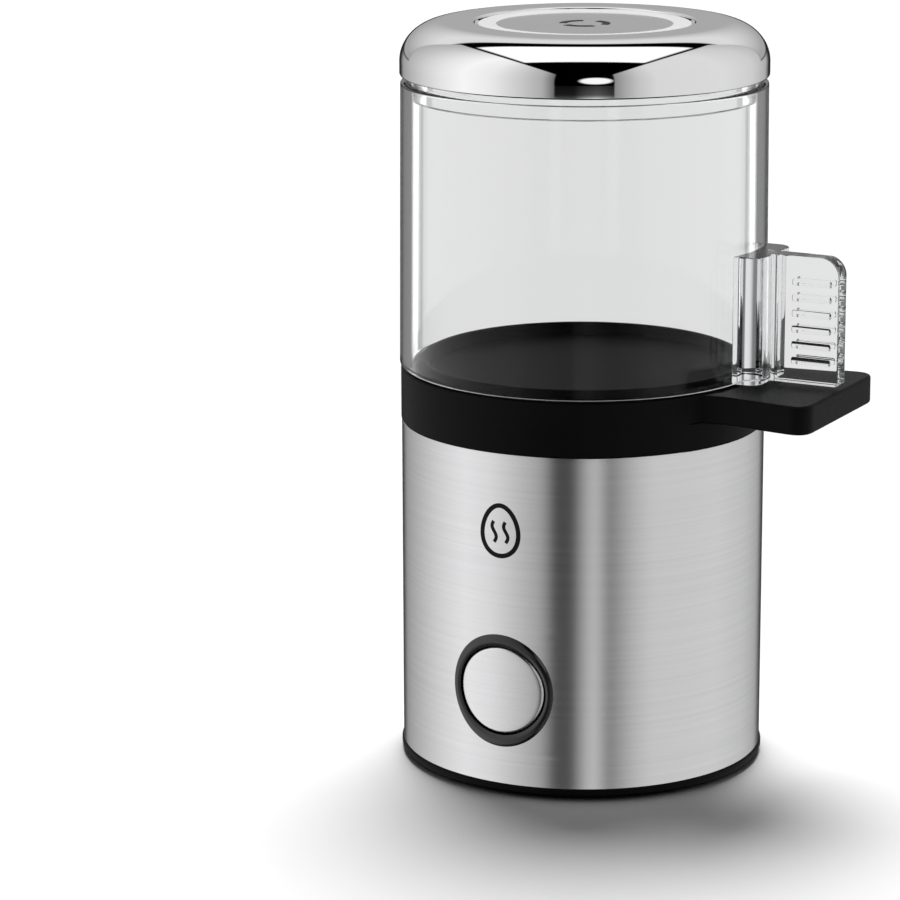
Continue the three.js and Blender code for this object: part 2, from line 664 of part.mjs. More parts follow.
// The clear wall, with a thinner spigot at its top that the dome covers.
function lidShell() {
  const shoulder = CAP_BOTTOM - GROOVE;
  const spigot = CAP_R - CAP_WALL - GAP;
  const top = CAP_BOTTOM + 3.6;
  return ring([
    [LID_IN, LID_BOTTOM], [LID_R, LID_BOTTOM], [LID_R_TOP, shoulder], [spigot, shoulder],
    [spigot, top], [LID_IN_TOP, top], [LID_IN_TOP, LINER_BOTTOM - 2],
  ]);
}

// An inner cup that closes the lid below the dome, with vents for the steam.
function lidLiner() {
  const cup = turned([
    [0, LINER_TOP - 1.2], [LINER_R - 6, LINER_TOP - 1.2], [LINER_R - 1.6, LINER_TOP - 5.6],
    [LINER_R - 1.6, LINER_BOTTOM], [LINER_R, LINER_BOTTOM], [LINER_R, LINER_TOP - 5],
    [LINER_R - 5.2, LINER_TOP], [0, LINER_TOP],
  ]);
  const vents = VENTS.map(([x, y]) =>
    bar(1.6, LINER_TOP - 3, LINER_TOP + 1, 8).translate(x, y, 0));
  return shaped([cup], [...vents, bar(1.7, LINER_TOP - 3, LINER_TOP + 1, 12)]);
}

function lidCap() {
  const edgeR = CAP_R - DOME_WIDE;
  const edgeZ = HEIGHT - DOME_HIGH;
  const edge = (inset, steps) => arc(0, 0, 1, 0, 90, steps).map(([x, z]) =>
    [edgeR + x * (DOME_WIDE - inset), edgeZ + z * (DOME_HIGH - inset)]);
  const outer = edge(0, 5);
  const inner = edge(CAP_WALL, 3).reverse();
  const shell = turned([
    [0, RECESS_FLOOR - CAP_WALL], [RECESS_R + CAP_WALL, RECESS_FLOOR - CAP_WALL],
    [RECESS_R + CAP_WALL, HEIGHT - CAP_WALL], ...inner,
    [CAP_R - CAP_WALL, CAP_BOTTOM], [CAP_R, CAP_BOTTOM], ...outer,
    [RECESS_R, HEIGHT], [RECESS_R, RECESS_FLOOR], [0, RECESS_FLOOR],
  ]);
  const vents = VENTS.map(([x, y]) =>
    bar(1.6, RECESS_FLOOR - 3, RECESS_FLOOR + 1, 8).translate(x, y, 0));
  return shaped([shell], [...vents, bar(3.2, RECESS_FLOOR - 3, RECESS_FLOOR + 1)]);
}

// A disc on a short stem: steam leaves through the narrow ring round it.
function lidBadge() {
  const top = HEIGHT - 0.3;
  const disc = turned([
    [0, LINER_TOP + 0.1], [3, LINER_TOP + 0.1], [3, top - 1], [BADGE_R, top - 1],
    [BADGE_R, top - 0.4], [BADGE_R - 0.8, top], [0, top],
  ]);
  return shaped([disc], [bar(1.5, LINER_TOP - 1, LINER_TOP + 4.4, 12)]);
}

const GRIP_HALF = 9.8; // half width of the grip's foot, along the wall
const GRIP_FACE = 49.5; // outer face of the foot
const GRIP_END = 66;
const GRIP_BOTTOM = COLLAR_TOP + 1;
const GRIP_TOP = 126.4;
const BLADE_HALF = 2.3;
const RIBS = 6;
const RIB_PITCH = 3.68;

// The clear finger grip: a foot that hugs the wall and an upright blade with ribs on both faces.
function lidHandle() {
  const corner = 4.8;
  const foot = new THREE.Shape();
  foot.moveTo(40, -GRIP_HALF);
  foot.lineTo(GRIP_FACE - corner, -GRIP_HALF);
  foot.absarc(GRIP_FACE - corner, -GRIP_HALF + corner, corner, -Math.PI / 2, 0, false);
  foot.lineTo(GRIP_FACE, GRIP_HALF - corner);
  foot.absarc(GRIP_FACE - corner, GRIP_HALF - corner, corner, 0, Math.PI / 2, false);
  foot.lineTo(40, GRIP_HALF);
  foot.closePath();

  const round = 4.4;
  const side = new THREE.Shape(); // the blade's outline: x outwards, y up
  side.moveTo(GRIP_FACE - 2, GRIP_BOTTOM);
  side.lineTo(GRIP_END, GRIP_BOTTOM);
  side.lineTo(GRIP_END, GRIP_TOP - round);
  side.absarc(GRIP_END - round, GRIP_TOP - round, round, 0, Math.PI / 2, false);
  side.lineTo(GRIP_FACE - 2, GRIP_TOP);
  side.closePath();
  const blade = raised(side, -BLADE_HALF, BLADE_HALF).rotateX(Math.PI / 2);

  const ribs = Array.from({ length: RIBS }, (_, i) => {
    const z = GRIP_BOTTOM + 5.4 + RIB_PITCH * i;
    const rib = bar(1, GRIP_FACE + 4.8, GRIP_END - 1.7, 20).rotateY(Math.PI / 2);
    return rib.scale(1, BLADE_HALF + 0.55, 1.4).translate(0, 0, z);
  });
  const wall = bar(LID_R + GAP, GRIP_BOTTOM - 1, GRIP_TOP + 1, ROUND);
  return shaped([raised(foot, GRIP_BOTTOM, GRIP_TOP), blade, ...ribs], [wall]);
}

add("lid_shell", lidShell(), clearPlastic, lid);
add("lid_liner", lidLiner(), clearPlastic, lid);
add("lid_cap", lidCap(), chrome, lid);
add("lid_badge", lidBadge(), chrome, lid);
add("lid_screw", screw(2.8, 1.3, 1.3, 5), plainSteel, lid).position.set(0, 0, LINER_TOP - 1.3);
add("lid_handle", lidHandle(), clearPlastic, lid);

export default eggCooker;
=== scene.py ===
"""The looks of a small round egg cooker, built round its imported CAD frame.

Lengths are in millimetres until a mesh is made, and in metres in the camera and the frame's calls.
+Z is up, the push button faces -Y and the shelf points to +X."""
import math

import bmesh
import bpy
from mathutils import Matrix, Vector


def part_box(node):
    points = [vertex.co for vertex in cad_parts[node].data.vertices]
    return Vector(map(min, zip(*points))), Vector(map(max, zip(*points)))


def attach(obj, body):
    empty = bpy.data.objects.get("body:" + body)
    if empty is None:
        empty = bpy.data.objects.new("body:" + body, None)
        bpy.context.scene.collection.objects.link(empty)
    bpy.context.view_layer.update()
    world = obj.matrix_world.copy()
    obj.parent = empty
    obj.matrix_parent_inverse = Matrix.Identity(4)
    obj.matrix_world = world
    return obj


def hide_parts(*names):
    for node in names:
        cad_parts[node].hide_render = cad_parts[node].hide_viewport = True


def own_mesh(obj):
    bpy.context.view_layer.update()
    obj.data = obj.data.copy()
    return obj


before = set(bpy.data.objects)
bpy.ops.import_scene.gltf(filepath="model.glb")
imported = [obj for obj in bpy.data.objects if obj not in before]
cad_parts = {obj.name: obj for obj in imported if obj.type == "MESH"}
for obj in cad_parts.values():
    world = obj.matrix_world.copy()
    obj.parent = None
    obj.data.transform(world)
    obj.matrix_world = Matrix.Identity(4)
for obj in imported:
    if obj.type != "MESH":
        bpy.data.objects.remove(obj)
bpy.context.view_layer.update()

MM = 0.001  # one millimetre in metres
FINE = 256  # steps round the large round pieces


def top_of(name):
    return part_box(name)[1].z / MM


def bottom_of(name):
    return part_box(name)[0].z / MM


def reach_of(name):
    """How far a node reaches towards +X, which is the radius of a round one."""
    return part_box(name)[1].x / MM


# ---------------------------------------------------------------- camera
CAMERA_TURN = math.radians(26.0)  # how far round from the button the camera stands
CAMERA_DISTANCE = 0.8667  # from the cooker's axis
CAMERA_HEIGHT = 0.2857
CAMERA_DOWN = math.radians(13.73)
CAMERA_ASIDE = math.radians(-2.10)
CAMERA_ROLL = math.radians(-0.21)
LENS = 148.86
SENSOR = 36


def make_camera():
    """The camera, on a turntable whose zero faces the push button."""
    turn = Matrix.Rotation(CAMERA_TURN, 3, "Z")
    forward = turn @ Vector((
        math.sin(CAMERA_ASIDE) * math.cos(CAMERA_DOWN),
        math.cos(CAMERA_ASIDE) * math.cos(CAMERA_DOWN),
        -math.sin(CAMERA_DOWN)))
    level = forward.cross(Vector((0, 0, 1))).normalized()
    right = math.cos(CAMERA_ROLL) * level + math.sin(CAMERA_ROLL) * level.cross(forward)
    upward = right.cross(forward)
    data = bpy.data.cameras.new("camera")
    data.sensor_width = SENSOR
    data.lens = LENS
    made = bpy.data.objects.new("camera", data)
    bpy.context.scene.collection.objects.link(made)
    axes = Matrix((right, upward, -forward)).transposed().to_4x4()
    place = turn @ Vector((0, -CAMERA_DISTANCE, CAMERA_HEIGHT))
    made.matrix_world = Matrix.Translation(place) @ axes
    bpy.context.scene.camera = made


make_camera()


# ---------------------------------------------------------------- node helpers
def node(tree, kind, inputs=None, **settings):
    """A new node. Inputs are numbers or other nodes' sockets."""
    made = tree.nodes.new(kind)
    for key, value in settings.items():
        setattr(made, key, value)
    for key, value in (inputs or {}).items():
        if isinstance(value, bpy.types.NodeSocket):
            tree.links.new(value, made.inputs[key])
        else:
            made.inputs[key].default_value = value
    return made


class Number:
    """A number in a node tree, with arithmetic."""

    def __init__(self, tree, socket):
        self.tree, self.socket = tree, socket

    def feed(self, slot, value):
        """Gives a node's input a Number or a plain value."""
        if isinstance(value, Number):
            self.tree.links.new(value.socket, slot)
        else:
            slot.default_value = value

    def op(self, operation, *others):
        made = self.tree.nodes.new("ShaderNodeMath")
        made.operation = operation
        for slot, value in zip(made.inputs, (self, *others)):
            self.feed(slot, value)
        return Number(self.tree, made.outputs[0])

    def __add__(self, other):
        return self.op("ADD", other)

    def __sub__(self, other):
        return self.op("SUBTRACT", other)

    def __mul__(self, other):
        return self.op("MULTIPLY", other)

    def __truediv__(self, other):
        return self.op("DIVIDE", other)

    def largest(self, other):
        return self.op("MAXIMUM", other)

    def magnitude(self):
        return self.op("ABSOLUTE")

    def span(self, a, b, low=0.0, high=1.0, smooth=True):
        """This number's place between a and b, as a number from low to high."""
        made = self.tree.nodes.new("ShaderNodeMapRange")
        made.interpolation_type = "SMOOTHSTEP" if smooth else "LINEAR"
        names = ("Value", "From Min", "From Max", "To Min", "To Max")
        for name, value in zip(names, (self, a, b, low, high)):
            self.feed(made.inputs[name], value)
        return Number(self.tree, made.outputs["Result"])

    def inverse(self):
        """One less this number, kept between 0 and 1."""
        return self.span(0, 1, 1, 0, smooth=False)


def grain(tree, stretch, low, high, detail=3.0):
    """Noise from low to high. stretch is its frequency along X, Y and Z, per metre. The noise
    itself hardly leaves 0.3 to 0.7."""
    coords = node(tree, "ShaderNodeTexCoord").outputs["Object"]
    placed = node(tree, "ShaderNodeMapping", {"Vector": coords, "Scale": stretch})
    noise = node(tree, "ShaderNodeTexNoise", {
        "Vector": placed.outputs["Vector"], "Scale": 1.0, "Detail": detail})
    return node(tree, "ShaderNodeMapRange", {
        "Value": noise.outputs["Fac"], "From Min": 0.3, "From Max": 0.7,
        "To Min": low, "To Max": high}).outputs["Result"]


# ---------------------------------------------------------------- materials
def material(name, colour, rough, metal=0.0, tint=0.05, patch=(60, 60, 60), fine=(900, 900, 900),
             bump=0.02, depth=0.00005, **sockets):
    """A procedural surface. Its colour varies by a share, tint, at the frequency patch. Its
    roughness goes from rough[0] to rough[1] at the frequency fine, with a bump of that depth.
    sockets are further numbers for the shader, with _ for each space."""
    made = bpy.data.materials.new(name)
    made.use_nodes = True
    tree = made.node_tree
    shader = tree.nodes["Principled BSDF"]
    mix = node(tree, "ShaderNodeMix", {"Factor": grain(tree, patch, 0, 1)}, data_type="RGBA")
    mix.inputs["A"].default_value = (*[c * (1 - tint) for c in colour], 1)
    mix.inputs["B"].default_value = (*[min(1, c * (1 + tint)) for c in colour], 1)
    tree.links.new(mix.outputs["Result"], shader.inputs["Base Color"])
    tree.links.new(grain(tree, fine, *rough), shader.inputs["Roughness"])
    shader.inputs["Metallic"].default_value = metal
    if bump:
        raised = node(tree, "ShaderNodeBump", {
            "Height": grain(tree, fine, 0, 1, 2.0), "Strength": bump, "Distance": depth})
        tree.links.new(raised.outputs["Normal"], shader.inputs["Normal"])
    for key, value in sockets.items():
        shader.inputs[key.replace("_", " ")].default_value = value
    made.diffuse_color = (*colour, 1)
    return made


def brushed(name, colour, rough, stretch, bump):
    """Metal with fine straight scratches round the Z axis, which smear its reflections upwards."""
    made = material(name, colour, rough, metal=1.0, tint=0.03, patch=stretch, fine=stretch,
                    bump=bump, depth=0.00003, Anisotropic=0.75, Anisotropic_Rotation=0.25)
    tree = made.node_tree
    tangent = node(tree, "ShaderNodeTangent", direction_type="RADIAL", axis="Z")
    tree.links.new(tangent.outputs["Tangent"], tree.nodes["Principled BSDF"].inputs["Tangent"])
    return made


def clear(name, tone, density=60):
    """Clear moulded plastic. Light loses a little on each millimetre of its way through."""
    made = material(name, (1, 1, 1), (0.0, 0.02), tint=0.0, patch=(40, 40, 40),
                    fine=(25, 25, 25), bump=0.0, Transmission_Weight=1.0, IOR=1.49,
                    Specular_Tint=(0.2, 0.2, 0.2, 1))
    tree = made.node_tree
    murk = node(tree, "ShaderNodeVolumeAbsorption", {"Color": (*tone, 1), "Density": density})
    tree.links.new(murk.outputs["Volume"], tree.nodes["Material Output"].inputs["Volume"])
    return made


STEEL = brushed("brushed_steel", (0.72, 0.72, 0.73), (0.22, 0.245), (12, 12, 1500), 0.006)
BUTTON_STEEL = brushed("brushed_button", (0.76, 0.76, 0.77), (0.24, 0.28), (30, 30, 1500), 0.01)
CHROME = material("chrome", (0.86, 0.86, 0.87), (0.02, 0.05), metal=1.0, tint=0.01,
                  fine=(120, 120, 120), bump=0.0)
BADGE = material("badge_chrome", (0.80, 0.80, 0.81), (0.12, 0.14), metal=1.0, tint=0.02,
                 fine=(1200, 1200, 1200), bump=0.0)
BADGE_RING = material("badge_ring", (0.86, 0.86, 0.86), (0.30, 0.40), metal=0.35, tint=0.02,
                      fine=(600, 600, 600), bump=0.0)
BLACK = material("black_plastic", (0.0036, 0.0036, 0.0038), (0.36, 0.50), tint=0.15,
                 fine=(2600, 2600, 2600), bump=0.10, Specular_IOR_Level=0.06)
GLOSS = material("gloss_black", (0.004, 0.004, 0.0045), (0.14, 0.20), tint=0.1,
                 fine=(400, 400, 400), bump=0.01, Specular_IOR_Level=0.7)
PAN = material("pan_coat", (0.002, 0.002, 0.0021), (0.32, 0.42), tint=0.25, patch=(500, 500, 500),
               fine=(1800, 1800, 1800), bump=0.08, Specular_IOR_Level=0.005)
CLEAR = clear("clear_plastic", (0.82, 0.83, 0.84))
GRIP_CLEAR = clear("clear_grip", (0.90, 0.91, 0.92))
RUBBER = material("rubber", (0.010, 0.010, 0.010), (0.75, 0.9), tint=0.2,
                  fine=(1500, 1500, 1500), bump=0.2, depth=0.0001, Specular_IOR_Level=0.2)
PRINT = material("print_black", (0.004, 0.004, 0.004), (0.45, 0.6), tint=0.1,
                 Specular_IOR_Level=0.15)
ZINC = material("zinc_steel", (0.55, 0.56, 0.57), (0.28, 0.42), metal=1.0, tint=0.08,
                patch=(300, 300, 300), bump=0.05)
BRASS = material("brass", (0.62, 0.46, 0.20), (0.25, 0.4), metal=1.0, tint=0.08)
IVORY = material("ivory_plastic", (0.78, 0.74, 0.64), (0.4, 0.55), bump=0.05)
SILICONE = material("silicone", (0.50, 0.47, 0.42), (0.5, 0.7), bump=0.08)
BOARD = material("board_green", (0.02, 0.11, 0.05), (0.3, 0.5), tint=0.3, patch=(200, 200, 200))
PARTS = material("component", (0.02, 0.022, 0.026), (0.3, 0.5), tint=0.2)
RED = material("wire_red", (0.25, 0.015, 0.012), (0.4, 0.55), tint=0.1)
BLUE = material("wire_blue", (0.015, 0.04, 0.22), (0.4, 0.55), tint=0.1)
GREEN = material("wire_green", (0.05, 0.20, 0.03), (0.4, 0.55), tint=0.1)

# The CAD nodes inside the cooker show as they are, each group with its own finish.
HIDDEN_FINISH = [
    (ZINC, ["heating_element", "heat_shield", "thermostat_clip", "thermal_fuse", "fuse_clip",
            "board_screw_1", "board_screw_2", "button_retainer", "clamp_screw_1",
            "clamp_screw_2", "lid_screw", "base_screw_1", "base_screw_2", "base_screw_3",
            "base_screw_4"]),
    (BRASS, ["shield_nut_1", "shield_nut_2", "shield_nut_3", "clip_nut_1", "clip_nut_2"]),
    (IVORY, ["inner_frame", "thermostat", "terminal_block"]),
    (PARTS, ["relay", "capacitor", "buzzer", "switch_body", "switch_plunger"]),
    (BLACK, ["button_carrier", "cord_clamp"]),
    (SILICONE, ["pan_gasket"]),
    (BOARD, ["control_board"]),
    (RED, ["wire_supply_live", "wire_heater_live"]),
    (BLUE, ["wire_supply_neutral", "wire_heater_neutral"]),
    (GREEN, ["wire_earth"]),
]
for look, names in HIDDEN_FINISH:
    for name in names:
        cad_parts[name].data.materials.clear()
        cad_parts[name].data.materials.append(look)


# ---------------------------------------------------------------- mesh helpers
def piece(name, points, faces, look, sharp=38):
    """A mesh object from points in millimetres, smooth apart from edges sharper than `sharp`."""
    mesh = bpy.data.meshes.new(name)
    mesh.from_pydata([tuple(c * MM for c in p) for p in points], [], faces)
    mesh.validate()
    made = bpy.data.objects.new(name, mesh)
    bpy.context.scene.collection.objects.link(made)
    mesh.materials.append(look)
    tidy(made, sharp)
    return made


def tidy(made, sharp=38):
    """Joins doubled points, turns the faces outwards and marks the sharp edges."""
    work = bmesh.new()
    work.from_mesh(made.data)
    bmesh.ops.remove_doubles(work, verts=work.verts, dist=1e-7)
    bmesh.ops.recalc_face_normals(work, faces=work.faces)
    for face in work.faces:
        face.smooth = True
    work.to_mesh(made.data)
    work.free()
    made.data.set_sharp_from_angle(angle=math.radians(sharp))
    made.data.update()


def apply(made):
    """Turns the modifiers into plain mesh."""
    graph = bpy.context.evaluated_depsgraph_get()
    graph.update()
    mesh = bpy.data.meshes.new_from_object(made.evaluated_get(graph))
    made.modifiers.clear()
    made.data = mesh


def combine(base, others, operation):
    """Adds the other objects to base, or cuts them out of it, and deletes them."""
    for other in others:
        step = base.modifiers.new("step", "BOOLEAN")
        step.operation = operation
        step.solver = "EXACT"
        step.object = other
    apply(base)
    tidy(base)
    for other in others:
        bpy.data.objects.remove(other)


def edged(made, width, segments, angle, sharp):
    """Rounds the edges sharper than angle. width is in millimetres."""
    step = made.modifiers.new("edges", "BEVEL")
    step.width = width * MM
    step.segments = segments
    step.limit_method = "ANGLE"
    step.angle_limit = math.radians(angle)
    step.use_clamp_overlap = True
    apply(made)
    tidy(made, sharp)


def moved(made, matrix):
    """Moves a piece by changing its mesh."""
    made.data.transform(matrix)
    made.data.update()
    return made


def put_round(made, radius, degrees):
    """Moves a piece out from the axis, in a direction counted round from +X."""
    angle = math.radians(degrees)
    place = Vector((radius * math.cos(angle), radius * math.sin(angle), 0))
    return moved(made, Matrix.Translation(place * MM))


def fit(made, body, slot, *nodes):
    """Settles the shading, so wide faces stay flat beside their rounded edges. Then the piece rides on
    a body and stands for CAD nodes, which it hides. slot is not used."""
    made.modifiers.new("shading", "WEIGHTED_NORMAL").keep_sharp = True
    apply(made)
    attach(made, body)
    if nodes:
        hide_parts(*nodes)


def rounded(outline, steps=5, closed=False):
    """Turns each (x, y, radius) corner of an outline into an arc. Two numbers are a sharp corner.
    An arc takes no more than half of the shorter side next to it."""
    result = []
    count = len(outline)
    for i, corner in enumerate(outline):
        here = Vector(corner[:2])
        radius = corner[2] if len(corner) > 2 else 0
        if not radius or (not closed and i in (0, count - 1)):
            result.append(tuple(here))
            continue
        back = Vector(outline[i - 1][:2]) - here
        ahead = Vector(outline[(i + 1) % count][:2]) - here
        half = back.angle(ahead) / 2
        reach = min(radius / math.tan(half), 0.49 * back.length, 0.49 * ahead.length)
        radius = reach * math.tan(half)
        back.normalize()
        ahead.normalize()
        centre = here + (back + ahead).normalized() * (radius / math.sin(half))
        start = here + back * reach - centre
        end = here + ahead * reach - centre
        first = math.atan2(start.y, start.x)
        sweep = (math.atan2(end.y, end.x) - first + math.pi) % (2 * math.pi) - math.pi
        for k in range(steps + 1):
            a = first + sweep * k / steps
            result.append((centre.x + radius * math.cos(a), centre.y + radius * math.sin(a)))
    return result


def joined(rings, closed=False):
    """Faces between each ring of point numbers and the next, without doubled corners."""
    faces = []
    pairs = list(zip(rings, rings[1:]))
    if closed:
        pairs.append((rings[-1], rings[0]))
    for low, high in pairs:
        for i in range(len(low)):
            j = (i + 1) % len(low)
            corners = []
            for v in (low[i], low[j], high[j], high[i]):
                if v not in corners:
                    corners.append(v)
            if len(corners) > 2:
                faces.append(corners)
    return faces


def turned(name, outline, look, steps=FINE, closed=False):
    """A piece turned about Z from (radius, height) points. It starts and ends on the axis, unless
    it is closed, which joins the last point to the first."""
    points, rings = [], []
    for r, z in outline:
        if r < 1e-6:
            rings.append([len(points)] * steps)
            points.append((0, 0, z))
            continue
        rings.append(list(range(len(points), len(points) + steps)))
        for i in range(steps):
            a = 2 * math.pi * i / steps
            points.append((r * math.cos(a), r * math.sin(a), z))
    return piece(name, points, joined(rings, closed), look)


def on_front(name, outline, radius, height, look, wide, tall=(1, 1), steps=160):
    """A round piece on the front of the body. The outline holds (distance from the piece's own
    centre line, depth, hugs): a point that hugs follows the body's curve, `depth` above it, and
    any other point lies in the plane at `depth` from the body's axis. wide and tall stretch the
    outline sideways and upwards, each at its innermost and at its outermost hugging point."""
    points, rings = [], []
    outer = max(r for r, depth, hugs in outline if hugs)
    inner = min(r for r, depth, hugs in outline if hugs)
    for r, depth, hugs in outline:
        spokes = 1 if r < 1e-6 else steps
        part = (r - inner) / (outer - inner) if hugs else 0
        across = r * (wide[0] + (wide[1] - wide[0]) * part)
        upward = r * (tall[0] + (tall[1] - tall[0]) * part)
        rings.append([len(points) + (i if spokes > 1 else 0) for i in range(steps)])
        for i in range(spokes):
            a = 2 * math.pi * i / steps
            x = across * math.cos(a)
            out = math.sqrt(radius ** 2 - x ** 2) + depth if hugs else depth
            points.append((x, -out, height + upward * math.sin(a)))
    return piece(name, points, joined(rings), look)


def prism(name, outline, low, high, look):
    """A flat outline in X and Y, given a thickness along Z."""
    count = len(outline)
    points = [(x, y, z) for z in (low, high) for x, y in outline]
    faces = [list(range(count))[::-1], list(range(count, 2 * count))]
    faces += [[i, (i + 1) % count, count + (i + 1) % count, count + i] for i in range(count)]
    return piece(name, points, faces, look)


def add_bar(points, faces, rings, closed=False):
    """Adds a bar to a mesh's points and faces. Each ring holds the corners of a cross-section."""
    numbers = []
    for ring in rings:
        numbers.append(list(range(len(points), len(points) + len(ring))))
        points += ring
    faces += joined(numbers, closed)
    if not closed:
        faces += [numbers[0], numbers[-1]]


def grid_lines(start, end, marks, size):
    """Values from start to end, about `size` apart, that include each mark's two sides."""
    stops = sorted({start, end, *[s for a, b in marks for s in (a, b)]})
    made = [start]
    for a, b in zip(stops, stops[1:]):
        count = max(1, round((b - a) / size))
        made += [a + (b - a) * k / count for k in range(1, count + 1)]
    return made


def nearest(values, target):
    return min(range(len(values)), key=lambda k: abs(values[k] - target))


def holed_wall(name, radius, thick, low, high, holes, look):
    """A thin round wall. Each hole is (angle round from +X, height, radius, half size of the square
    patch of wall around it). Rings of faces lead from a patch's square rim to its round hole."""
    rings, crowding, tall_cells = 7, 0.8, 1.6
    length = 2 * math.pi * radius
    cell = length / FINE
    patches = [(radius * a, z, r, half) for a, z, r, half in holes]
    across = grid_lines(0, length, [(u - h, u + h) for u, z, r, h in patches], cell)
    upward = grid_lines(low, high, [(z - h, z + h) for u, z, r, h in patches], cell * tall_cells)
    columns = len(across) - 1
    flat = [(u, z) for z in upward for u in across[:-1]]

    def index(i, j):
        return j * columns + i % columns

    faces = []
    for j in range(len(upward) - 1):
        for i in range(columns):
            u = (across[i] + across[i + 1]) / 2
            z = (upward[j] + upward[j + 1]) / 2
            if not any(abs(u - pu) < h and abs(z - pz) < h for pu, pz, r, h in patches):
                faces.append([index(i, j), index(i + 1, j), index(i + 1, j + 1), index(i, j + 1)])
    for pu, pz, r, h in patches:
        i0, i1 = nearest(across, pu - h), nearest(across, pu + h)
        j0, j1 = nearest(upward, pz - h), nearest(upward, pz + h)
        rim = [index(i, j0) for i in range(i0, i1)] + [index(i1, j) for j in range(j0, j1)]
        rim += [index(i, j1) for i in range(i1, i0, -1)] + [index(i0, j) for j in range(j1, j0, -1)]
        loops = [rim]
        for k in range(1, rings + 1):
            share = (k / rings) ** crowding
            loops.append(list(range(len(flat), len(flat) + len(rim))))
            for v in rim:
                du, dz = flat[v][0] - pu, flat[v][1] - pz
                scale = (1 - share) + share * r / math.hypot(du, dz)
                flat.append((pu + du * scale, pz + dz * scale))
        faces += joined(loops)
    points = [(radius * math.cos(u / radius), radius * math.sin(u / radius), z) for u, z in flat]
    made = piece(name, points, faces, look)
    wall = made.modifiers.new("wall", "SOLIDIFY")
    wall.thickness = thick * MM
    wall.offset = -1
    edged(made, 0.22, 3, 50, 40)
    return made


# ---------------------------------------------------------------- the body of the cooker
BODY_R = reach_of("body_sleeve")
BUTTON_Z = (bottom_of("button_cap") + top_of("button_cap")) / 2
CORD_Z = (bottom_of("cord_gland") + top_of("cord_gland")) / 2
SLEEVE_LOW = bottom_of("body_sleeve")
SLEEVE_HIGH = top_of("body_sleeve")
COLLAR_TOP = top_of("top_collar")
MARK_Z = 64.2  # height of the middle of the printed sign
PRINT_LOW, PRINT_HIGH = -0.05, 0.04  # faces of the printed sign, measured from the steel


def base():
    """The black bottom cover, with four deep screw holes, and the grooved rubber pad under it."""
    rim = BODY_R + 0.4
    under, bed, floor = 0.8, 2.1, 4.4
    shoulder = SLEEVE_LOW - 0.05
    outline = rounded([
        (0, bed), (27.4, bed), (27.4, under, 0.3), (38.5, under, 0.3), (38.7, 1.3, 0.2),
        (39.3, 1.3, 0.2), (39.5, under, 0.3), (rim - 1.0, under, 0.7), (rim, 1.6, 0.8),
        (rim, shoulder, 0.25), (41.2, shoulder), (41.2, 9), (39.2, 9), (39.2, floor),
        (0, floor)])
    made = turned("base_cover_fine", outline, BLACK)
    cutters = []
    for angle in (20, 160, 200, 340):
        hole = [(0, -1), (3.5, -1), (3.5, 2.35), (1.7, 2.4), (1.7, 6), (0, 6)]
        cutters.append(put_round(turned("bore", hole, BLACK, 40), 34, angle))
    combine(made, cutters, "DIFFERENCE")
    fit(made, "cooker", "black_plastic", "base_cover")

    pad_r, pad_top, groove = 27, 2.0, 0.6
    grooves = []
    for r in range(6, 26, 4):
        grooves += [(r, 0, 0.2), (r + 0.5, groove, 0.2), (r + 1.5, groove, 0.2), (r + 2, 0, 0.2)]
    foot = turned("base_pad_fine", rounded([
        (0, 0), *grooves, (pad_r, 0, 0.5), (pad_r, pad_top), (0, pad_top)]), RUBBER)
    fit(foot, "cooker", "rubber", "base_pad")


def sleeve():
    """The steel wall, with a hole for the button's surround and one for the cord's bush."""
    button_hole = (1.5 * math.pi, BUTTON_Z, 12.3, 15.5)
    cord_hole = (0.5 * math.pi, CORD_Z, 5.2, 8.0)
    made = holed_wall("steel_sleeve", BODY_R, 0.8, SLEEVE_LOW, SLEEVE_HIGH,
                      [button_hole, cord_hole], STEEL)
    fit(made, "cooker", "brushed_steel", "body_sleeve")


def front_mark():
    """A generic printed sign on the front: an egg's outline with two waves of steam in it."""
    egg = []
    for k in range(48):
        a = 2 * math.pi * k / 48
        half_wide = 4.6 * (1 - 0.13 * math.sin(a))
        egg.append((half_wide * math.cos(a), 6.0 * math.sin(a)))
    strokes = [(egg, True, 0.55)]
    for x in (-1.5, 1.5):
        wave = [(x + 0.55 * math.sin(k * 0.55), -2.8 + 0.45 * k) for k in range(12)]
        strokes.append((wave, False, 0.42))

    points, faces = [], []
    for line, closed, half in strokes:
        rings = []
        for k, (x, z) in enumerate(line):
            before = Vector(line[k - 1] if closed or k else line[0])
            after = Vector(line[(k + 1) % len(line)] if closed or k < len(line) - 1 else line[-1])
            along = (after - before).normalized()
            ring = []
            for aside, lift in ((half, PRINT_LOW), (half, PRINT_HIGH),
                                (-half, PRINT_HIGH), (-half, PRINT_LOW)):
                px, pz = x - along.y * aside, z + along.x * aside
                out = math.sqrt(BODY_R ** 2 - px ** 2) + lift
                ring.append((px, -out, MARK_Z + pz))
            rings.append(ring)
        add_bar(points, faces, rings, closed)
    fit(piece("front_mark", points, faces, PRINT), "cooker", "black_plastic")


